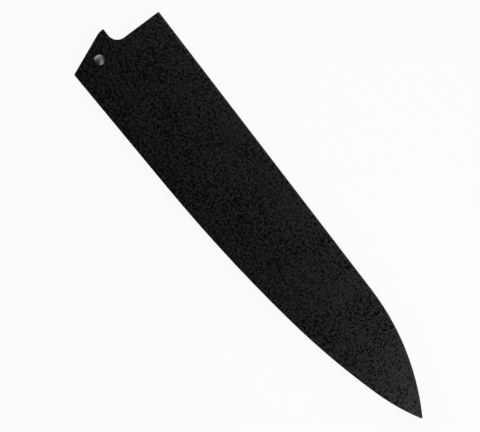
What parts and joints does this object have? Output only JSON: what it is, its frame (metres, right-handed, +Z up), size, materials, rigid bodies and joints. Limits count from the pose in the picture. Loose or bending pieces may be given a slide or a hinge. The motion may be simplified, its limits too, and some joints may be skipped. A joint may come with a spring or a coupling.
{
  "type": "knife blade guard",
  "caption": "Sheath for a chef's knife: grained plates on edge spacers form a felt-lined pocket, locked by a domed steel pin through the hook at its open end.",
  "frame": {"origin": "below the middle of the outline, on the back face that the guard lies on", "axes": "+X along the spine towards the tip, +Y across towards the spine, +Z up through the front face"},
  "size_m": [0.2616, 0.055, 0.0122],
  "materials": {
    "grained_black": "black, with a fine stone-like grain, low sheen",
    "plain_black": "black, satin, with a faint grain along the strip",
    "felt": "charcoal felt",
    "pin_steel": "dark satin steel, finely turned",
    "bush_steel": "turned stainless steel",
    "ring_rubber": "black rubber",
    "dowel_nylon": "natural nylon"
  },
  "bodies": {
    "guard": {"back_plate": "grained_black", "front_plate": "grained_black", "spine_spacer": "plain_black", "edge_spacer": "plain_black", "back_lining": "felt", "front_lining": "felt", "back_pin_bush": "bush_steel", "front_pin_bush": "bush_steel", "spine_dowel_1": "dowel_nylon", "spine_dowel_2": "dowel_nylon", "spine_dowel_3": "dowel_nylon", "spine_dowel_4": "dowel_nylon", "spine_dowel_5": "dowel_nylon", "edge_dowel_1": "dowel_nylon", "edge_dowel_2": "dowel_nylon", "edge_dowel_3": "dowel_nylon", "edge_dowel_4": "dowel_nylon", "edge_dowel_5": "dowel_nylon"},
    "pin": {"locking_pin": "pin_steel", "pin_ring": "ring_rubber"}
  },
  "joints": [
    {"name": "pin_slide", "type": "slide", "parent": "guard", "child": "pin", "axis": [0, 0, 1], "range_m": [0, 0.012]}
  ]
}
